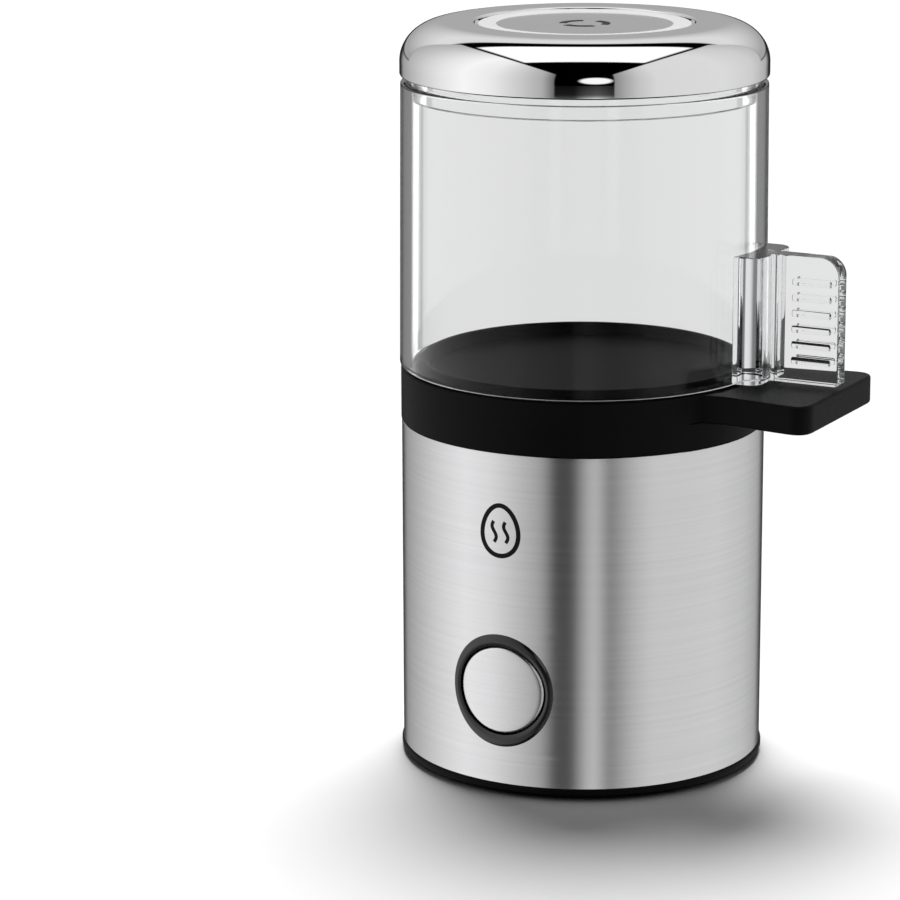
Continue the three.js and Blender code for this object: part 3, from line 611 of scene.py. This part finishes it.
def button():
    """The push button's glossy surround, a little taller than wide, and its steel face."""
    out, inner, gap = 12.75, 10.75, 0.35
    back, seat, flange, stem_hole = 33.5, 34.7, 14.3, 2.8
    stretch = 1.035
    bezel = rounded([
        (inner, -1.4), (inner, 0.10, 0.3), (inner + 0.75, 0.42, 0.5),
        (out - 0.5, 0.32, 0.5), (out, 0.12, 0.2), (out, -0.4)], 6)
    outline = [(flange, seat, False), (flange, back, False), (stem_hole, back, False),
               (stem_hole, seat, False), (inner, seat, False)]
    outline += [(r, depth, True) for r, depth in bezel]
    outline += [(out, seat, False), (flange, seat, False)]
    made = on_front("button_bezel", outline, BODY_R, BUTTON_Z, GLOSS,
                    wide=(stretch, 1.012), tall=(1.0, 1.065))
    fit(made, "cooker", "gloss_black", "button_housing")

    edge, cap_back, dish = inner - gap, 39.65, 0.12
    face = rounded([(edge, -1.6), (edge, 0.05, 0.7), (edge - 3, dish)], 8)
    outline = [(0, cap_back, False), (edge, cap_back, False)]
    outline += [(r, depth, True) for r, depth in face[:-1]]
    outline += [(r, dish, True) for r in (9.0, 7.5, 6.0, 4.5, 3.0, 1.5, 0)]
    made = on_front("button_face", outline, BODY_R - 0.1, BUTTON_Z, BUTTON_STEEL,
                    wide=(stretch, stretch))
    fit(made, "button", "brushed_steel", "button_cap")


def spring():
    """The coil spring behind the button. It shortens as the button is pressed."""
    lowest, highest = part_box("button_spring")
    wire, turns, steps, sides = 0.3, 2.5, 60, 8
    radius = (highest.x - lowest.x) / MM / 2 - wire
    front, back = lowest.y / MM + wire, highest.y / MM - wire
    rings = []
    for k in range(steps + 1):
        angle = 2 * math.pi * turns * k / steps
        centre = back + (front - back) * k / steps
        ring = []
        for j in range(sides):
            a = 2 * math.pi * j / sides
            out = radius + wire * math.cos(a)
            ring.append((out * math.cos(angle), centre + wire * math.sin(a),
                         BUTTON_Z + out * math.sin(angle)))
        rings.append(ring)
    points, faces = [], []
    add_bar(points, faces, rings)
    made = piece("coil_spring", points, faces, ZINC)
    fit(made, "cooker", "plain_steel", "button_spring")
    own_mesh(made)


def bend(start, control, end, steps=10):
    """Points on a smooth bend from start to end, which heads for the control point first."""
    a, b, c = Vector(start), Vector(control), Vector(end)
    shares = [k / steps for k in range(steps + 1)]
    return [tuple((1 - t) ** 2 * a + 2 * t * (1 - t) * b + t ** 2 * c) for t in shares]


def shelf_outline():
    """The shelf's plan from its front root to its rear root, as (x, y) points."""
    end, root = reach_of("top_collar"), 37.6
    half_root, half_end, corner = 18.6, 20.9, 4.5
    start = Vector((root + 9, -half_root - 0.5))
    stop = Vector((end - corner, -half_end))
    side = bend((root - 1.5, -half_root - 2.6), (root + 3.5, -half_root), start)
    side += [tuple(start.lerp(stop, k / 4)) for k in range(1, 4)]
    side += bend(stop, (end, -half_end), (end, -half_end + corner))
    side += [(end, (-half_end + corner) * (1 - k / 5)) for k in range(1, 5)]
    return side + [(end, 0.0)] + [(x, -y) for x, y in reversed(side)]


def collar():
    """The ring and its shelf: one outline, which bulges out to the shelf, with rounded edges."""
    ring, seam, steps = BODY_R + 0.15, 0.02, 220
    shelf = [p for p in shelf_outline() if math.hypot(*p) > ring + 0.05]
    first = math.atan2(shelf[0][1], shelf[0][0])
    last = math.atan2(shelf[-1][1], shelf[-1][0])
    plan = [(x, y, 1.0) for x, y in shelf]
    for k in range(1, steps):
        a = last + seam + (2 * math.pi + first - last - 2 * seam) * k / steps
        plan.append((ring * math.cos(a), ring * math.sin(a), 0.0))
    count = len(plan)

    def loop(inset, z, only_shelf=False):
        """The outline drawn in by `inset`, at height z."""
        made = []
        for k, (x, y, on_shelf) in enumerate(plan):
            before, after = Vector(plan[k - 1][:2]), Vector(plan[(k + 1) % count][:2])
            along = (after - before).normalized()
            much = inset * (on_shelf if only_shelf else 1.0)
            made.append((x - along.y * much, y + along.x * much, z))
        return made

    def circle(r, z, out=0.0):
        """A circle at height z, wider by `out` under the shelf."""
        made = []
        for x, y, on_shelf in plan:
            scale = (r + out * on_shelf) / math.hypot(x, y)
            made.append((x * scale, y * scale, z))
        return made

    edge, bore, lap, ledge = 0.7, 35.5, 42.0, 40.1
    seat, seat_wall, pan_wall = COLLAR_TOP - 10.4, SLEEVE_HIGH - 4.1, 39.7
    step, under, foot = COLLAR_TOP - 8, COLLAR_TOP - 6.7, SLEEVE_HIGH + 0.1
    arcs = [math.radians(90 * k / 5) for k in range(6)]
    loops = [circle(bore, step), circle(pan_wall, step), circle(pan_wall, COLLAR_TOP - 0.3),
             circle(39.8, COLLAR_TOP - 0.08), circle(40.0, COLLAR_TOP), circle(42.2, COLLAR_TOP)]
    loops += [loop(edge * (1 - math.sin(a)), COLLAR_TOP - edge * (1 - math.cos(a))) for a in arcs]
    loops += [loop(edge * (1 - math.cos(a)), under + edge * (1 - math.sin(a)), True) for a in arcs]
    loops += [circle(ring, under, 0.5), circle(ring, under - 0.15, 0.12),
              circle(ring, under - 0.6), circle(ring, foot + 0.35),
              circle(ring - 0.08, foot + 0.1), circle(ring - 0.3, foot), circle(lap, foot),
              circle(lap, seat_wall), circle(ledge, seat_wall), circle(ledge, seat),
              circle(bore, seat)]
    points = [p for one in loops for p in one]
    rings = [list(range(n * count, (n + 1) * count)) for n in range(len(loops))]
    made = piece("collar_and_shelf", points, joined(rings, closed=True), BLACK, 45)
    fit(made, "cooker", "black_plastic", "top_collar")


def pan():
    """The heating pan, with its studs for the heat shield and the thermostat's clip."""
    rim, floor, under, foot = top_of("heating_pan"), COLLAR_TOP - 0.4, COLLAR_TOP - 2, COLLAR_TOP - 6.9
    out, inner, dish = 39.3, 37.2, 30.0
    outline = rounded([
        (0, under), (inner, under), (inner, foot), (out, foot), (out, rim, 0.9),
        (inner + 0.2, rim, 0.9), (inner - 1.0, floor, 1.6), (dish, floor), (10, floor),
        (0, floor)], 6)
    made = turned("heating_pan_fine", outline, PAN)
    shield = top_of("heat_shield")
    studs = []
    for radius, angles, low in ((30, (30, 150, 270), shield - 5), (13, (0, 180), shield - 3.5)):
        for angle in angles:
            rod = [(0, low), (1.5, low), (1.5, under + 0.5), (0, under + 0.5)]
            studs.append(put_round(turned("stud", rod, PAN, 24), radius, angle))
    combine(made, studs, "UNION")
    fit(made, "cooker", "pan_coat", "heating_pan")


def gland():
    """The bush that the mains cord leaves through. Its outline runs outwards from the body."""
    bore, neck, flange = 3.3, 4.7, 7.4
    back, wall, out = 36.8, 38.4, BODY_R + 0.2
    outline = rounded([
        (bore, back), (flange, back, 0.3), (flange, wall), (neck, wall), (neck, out),
        (7.0, out, 0.3), (6.6, out + 1.0, 0.4), (6.0, out + 2.6, 0.6), (3.9, out + 2.6, 0.5),
        (bore, out + 2.0)], 4, closed=True)
    made = turned("cord_bush", outline, BLACK, 64, closed=True)
    turn = Matrix.Rotation(-math.pi / 2, 4, "X")
    moved(made, Matrix.Translation((0, 0, CORD_Z * MM)) @ turn)
    fit(made, "cooker", "black_plastic", "cord_gland")


# ---------------------------------------------------------------- the lid
CAP_LOW, CAP_TOP = bottom_of("lid_cap"), top_of("lid_cap")
VENT_R = 1.6
VENT_CIRCLE = 18  # radius of the circle that the vents stand on


def lid_wall():
    """The clear wall. It leans in a little towards its top, where the dome covers its spigot."""
    low, shoulder, top = bottom_of("lid_shell"), CAP_LOW - 1.5, top_of("lid_shell")
    wide, narrow, spigot, thick = reach_of("lid_shell"), 43.1, 41.8, 2.6
    outline = rounded([
        (wide - thick, low, 0.6), (wide, low, 0.8), (narrow, shoulder, 0.6),
        (spigot, shoulder, 0.2), (spigot, top, 0.3), (narrow - thick, top, 0.3),
        (narrow - thick, shoulder - 5.7)], 6, closed=True)
    made = turned("lid_wall", outline, CLEAR, closed=True)
    fit(made, "lid", "clear_plastic", "lid_shell")


def cut_vents(made, floor, middle, look):
    """Cuts four steam vents and a middle hole of radius `middle` through a floor near a height."""
    holes = []
    for place, degrees, r in [(VENT_CIRCLE, 90 * k, VENT_R) for k in range(4)] + [(0, 0, middle)]:
        outline = [(0, floor - 3), (r, floor - 3), (r, floor + 1), (0, floor + 1)]
        holes.append(put_round(turned("vent", outline, look, 32), place, degrees))
    combine(made, holes, "DIFFERENCE")


def liner():
    """The clear cup that closes the lid below the dome."""
    low, top, out = bottom_of("lid_liner"), top_of("lid_liner"), reach_of("lid_liner")
    inner, floor = out - 1.6, top - 1.2
    outline = rounded([
        (0, floor), (out - 6, floor, 3), (inner, top - 5.6, 3), (inner, low, 0.5),
        (out, low, 0.5), (out, top - 5, 3), (out - 5.2, top, 3), (0, top)], 6)
    made = turned("lid_liner_fine", outline, CLEAR)
    cut_vents(made, top, 1.7, CLEAR)
    fit(made, "lid", "clear_plastic", "lid_liner")


def cap():
    """The chromed dome: a flat ring round a recess, and an edge rounded as part of an ellipse."""
    radius = reach_of("lid_cap")
    recess, floor, wall = 25.8, CAP_TOP - 2, 1.2
    wide, high, steps = 10.0, 9.2, 40

    def edge(inset):
        turns = [math.pi / 2 * k / steps for k in range(steps + 1)]
        return [(radius - wide + (wide - inset) * math.cos(a),
                 CAP_TOP - high + (high - inset) * math.sin(a)) for a in turns]

    outline = rounded([
        (0, floor - wall), (recess + wall, floor - wall, 0.4), (recess + wall, CAP_TOP - wall, 0.4)])
    outline += edge(wall)[::-1]
    outline += rounded([
        (radius - wall, CAP_LOW + 1), (radius - wall, CAP_LOW, 0.12), (radius, CAP_LOW, 0.55),
        (radius, CAP_LOW + 1.2)], 8)
    outline += edge(0)
    outline += rounded([
        (recess + 2, CAP_TOP), (recess, CAP_TOP, 0.5), (recess, floor, 0.3), (0, floor)], 8)
    made = turned("dome", outline, CHROME, 320)
    cut_vents(made, floor, 3.2, CHROME)
    fit(made, "lid", "chrome", "lid_cap")


def badge():
    """The disc in the dome's recess: a bright raised ring round a shallow polished dish, with a
    generic printed sign in the middle, a ring of three short curved strokes."""
    top, seat, radius = top_of("lid_badge"), bottom_of("lid_badge"), reach_of("lid_badge")
    dish, under, stem = top - 0.35, top - 1.2, 3
    outline = rounded([
        (0, seat), (stem, seat), (stem, under), (radius, under, 0.2), (radius, top - 0.1, 0.5),
        (22.0, top, 0.6), (20.6, dish, 0.4), (10, dish), (0, dish)], 5)
    made = turned("badge_disc", outline, BADGE)
    bore = [(0, seat - 1), (1.5, seat - 1), (1.5, seat + 4.3), (0, seat + 4.3)]
    combine(made, [turned("hole", bore, BADGE, 24)], "DIFFERENCE")
    made.data.materials.append(BADGE_RING)
    for face in made.data.polygons:
        middle = face.center / MM
        if math.hypot(middle.x, middle.y) > 20.8 and middle.z > top - 0.7:
            face.material_index = 1
    fit(made, "lid", "chrome", "lid_badge")

    steps, inner, outer, half_high = 14, 4.2, 6.0, 0.05
    low, high = dish - half_high, dish + half_high
    points, faces = [], []
    for stroke in range(3):
        rings = []
        for k in range(steps + 1):
            a = math.radians(120 * stroke + 80 * k / steps)
            section = ((inner, low), (outer, low), (outer, high), (inner, high))
            rings.append([(r * math.cos(a), r * math.sin(a), z) for r, z in section])
        add_bar(points, faces, rings)
    fit(piece("badge_mark", points, faces, PRINT), "lid", "chrome")


def handle():
    """The clear grip: a foot that hugs the lid's wall, an upright blade, and ribs on the blade."""
    low, high = bottom_of("lid_handle"), top_of("lid_handle")
    half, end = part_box("lid_handle")[1].y / MM, reach_of("lid_handle")
    face, blade, hug_r, hug_steps = 49.5, 2.3, reach_of("lid_shell") + 0.3, 12
    across = [half - 2 * half * k / hug_steps for k in range(hug_steps + 1)]
    hug = [(math.sqrt(hug_r ** 2 - y ** 2), y) for y in across]
    foot = rounded([
        (hug[-1][0], -half), (face, -half, 4.8), (face, half, 4.8), (hug[0][0], half)], 10)
    made = prism("lid_grip", foot + hug[1:-1], low, high, GRIP_CLEAR)
    side = rounded([(face - 2, low), (end, low, 0.8), (end, high, 4.4), (face - 2, high)], 10)
    plate = prism("plate", side, -blade, blade, GRIP_CLEAR)
    moved(plate, Matrix.Rotation(math.pi / 2, 4, "X"))
    combine(made, [plate], "UNION")
    edged(made, 0.35, 3, 40, 60)

    rib_start, rib_end, rib_round = face + 4.8, end - 1.7, 0.7
    first_rib, rib_pitch, rib_half, rib_lift = low + 5.4, 3.68, 1.4, 0.55
    outline = rounded([
        (0, rib_start), (1, rib_start, rib_round), (1, rib_end, rib_round), (0, rib_end)], 4)
    squeeze = Matrix.Diagonal((1, blade + rib_lift, rib_half, 1))
    ribs = []
    for k in range(6):
        rib = turned("rib", outline, GRIP_CLEAR, 40)
        place = Matrix.Translation(Vector((0, 0, first_rib + rib_pitch * k)) * MM)
        ribs.append(moved(rib, place @ squeeze @ Matrix.Rotation(math.pi / 2, 4, "Y")))
    combine(made, ribs, "UNION")
    fit(made, "lid", "clear_plastic", "lid_handle")


base()
sleeve()
front_mark()
button()
spring()
collar()
pan()
gland()
lid_wall()
liner()
cap()
badge()
handle()


# ---------------------------------------------------------------- studio
# Brightness of the side panels at angles round from the camera, in degrees.
PANELS = [
    (-180, 0.02), (-161, 0.03), (-152, 0.36), (-125, 0.62), (-100, 0.90), (-80, 1.08),
    (-60, 0.96), (-42, 0.70), (-26, 0.48), (-17, 0.10), (-6, 0.11), (1, 0.55), (8, 0.86),
    (13, 0.56), (18, 0.28), (24, 0.42), (33, 0.62), (45, 0.78), (95, 0.82), (125, 0.70),
    (150, 0.46), (160, 0.03), (180, 0.02)]


def make_floor():
    """A pale floor that runs out past the view. Mirrors and clear plastic don't show it."""
    made = turned("floor", [(0, 0), (200, 0), (1200, 0), (6000, 0)], None, 96)
    look = material("floor", (0.90, 0.90, 0.90), (0.75, 0.85), tint=0.003, bump=0.0,
                    Specular_IOR_Level=0.0)
    made.data.materials.clear()
    made.data.materials.append(look)
    made.visible_glossy = False
    made.visible_transmission = False


def side_panels(tree, turn, height):
    """Tall panels all round, brighter and darker with the angle from the camera. Above knee height
    the gap between them is dark right across, but for one small window."""
    ramp = tree.nodes.new("ShaderNodeValToRGB")
    tree.links.new((turn / 360 + 0.5).socket, ramp.inputs["Fac"])
    band = ramp.color_ramp
    while len(band.elements) < len(PANELS):
        band.elements.new(0.5)
    for element, (angle, value) in zip(band.elements, PANELS):
        element.position = angle / 360 + 0.5
        element.color = (value, value, value, 1)
    gap = height.span(-13, -7) * turn.magnitude().span(18.8, 17.8)
    return Number(tree, ramp.outputs["Color"]) * gap.inverse()


def studio_light(tree, front, side, z):
    """What mirrors show: the panels, a ceiling panel, and a grey wall behind the object. front,
    side and z are a direction's parts towards the camera, to its right and upwards."""
    turn = side.op("ARCTAN2", front) * (180 / math.pi)
    height = z.op("ARCSINE") * (180 / math.pi)
    off = turn.magnitude()
    panels = side_panels(tree, turn, height)
    # An oval window, 7 degrees right of the camera and 7 up, and about 11 degrees either way.
    window = (turn - 7).op("POWER", 2) / 118 + (height - 7).op("POWER", 2) / 110

    # The panels end in level top edges that run towards the camera's side and away from it.
    reach = side.magnitude() - z * 0.66
    edges = reach.span(-0.012, 0.016) * off.span(143, 139).largest(z.span(0.01, -0.01))
    low = height.span(-52, -38)

    # The ceiling and the far wall are laid out on a level plane above the object.
    above = z.largest(0.02)
    ahead, across = front / above, side.magnitude() / above
    ceiling = (ahead.span(-0.58, -0.50) * ahead.span(0.50, 0.42) * across.span(0.62, 0.56)
               * z.span(0.05, 0.1))
    back = ahead.span(-0.86, -0.98) * z.span(0.0, 0.04) * off.span(136, 142)
    wall = height.span(6, 32, 0.40, 0.80, smooth=False)
    light = (panels * edges * low).largest(ceiling * 1.2).largest(back * wall)
    return light.largest(window.span(1.15, 0.5) * 1.1)


def seen_through(tree, front, side, rays):
    """What clear plastic shows: pale surroundings, with darker and lighter places to the sides.
    Light that has only been inside one wall comes from the darker ones. slant is the sine of the
    angle from straight ahead."""
    level = (side * side + front * front).op("SQRT").largest(0.001)
    slant = (side / level).magnitude()
    strip = slant.span(0.255, 0.285) * slant.span(0.43, 0.38)
    line = slant.span(0.205, 0.225) * slant.span(0.275, 0.255)
    pale = strip + 0.775 + slant.span(0.02, 0.14, 0, 0.05, smooth=False) - line * 0.30

    once = Number(tree, rays["Transmission Depth"]).span(3.5, 2.5, smooth=False)
    shade = once * slant.span(0.095, 0.125) * slant.span(0.66, 0.60)
    shade = shade.largest(slant.span(0.38, 0.43) * slant.span(0.66, 0.60))
    dim = slant.span(0.0, 0.55, 0.085, 0.22, smooth=False)
    return pale * shade.inverse() + shade * dim


def make_world():
    """White to the camera, a studio to mirrors and pale surroundings to clear plastic. Matt
    surfaces get no light from it: the lamps light those."""
    world = bpy.data.worlds.new("studio")
    bpy.context.scene.world = world
    world.use_nodes = True
    tree = world.node_tree
    parts = node(tree, "ShaderNodeSeparateXYZ", {
        "Vector": node(tree, "ShaderNodeTexCoord").outputs["Generated"]})
    x, y, z = [Number(tree, parts.outputs[k]) for k in "XYZ"]
    sine, cosine = math.sin(CAMERA_TURN), math.cos(CAMERA_TURN)
    front = x * sine - y * cosine
    side = x * cosine + y * sine
    rays = node(tree, "ShaderNodeLightPath").outputs
    seen = Number(tree, rays["Is Camera Ray"])
    through = Number(tree, rays["Is Transmission Ray"])
    shown = studio_light(tree, front, side, z) * (seen + through).inverse()
    shown = shown + seen + through * seen_through(tree, front, side, rays)
    background = tree.nodes["Background"]
    tree.links.new(shown.socket, background.inputs["Color"])
    background.inputs["Strength"].default_value = 1.0
    world.cycles_visibility.diffuse = False


def make_light(name, strength, wide, up, round_about):
    """A soft distant light: wide is its angle, up its height and round_about its direction from
    the camera's, in degrees."""
    data = bpy.data.lights.new(name, "SUN")
    data.energy = strength
    data.angle = math.radians(wide)
    made = bpy.data.objects.new(name, data)
    bpy.context.scene.collection.objects.link(made)
    turn = CAMERA_TURN + math.radians(round_about)
    rise = math.radians(up)
    towards = Vector((
        math.sin(turn) * math.cos(rise), -math.cos(turn) * math.cos(rise), math.sin(rise)))
    made.rotation_mode = "QUATERNION"
    made.rotation_quaternion = (-towards).to_track_quat("-Z", "Y")
    made.visible_glossy = False
    made.visible_transmission = False


make_floor()
make_world()
make_light("back_light", 3.65, 30, 69, 180)
make_light("fill_light", 0.38, 80, 55, 0)
scene = bpy.context.scene
scene.view_settings.view_transform = "Standard"
scene.view_settings.look = "None"
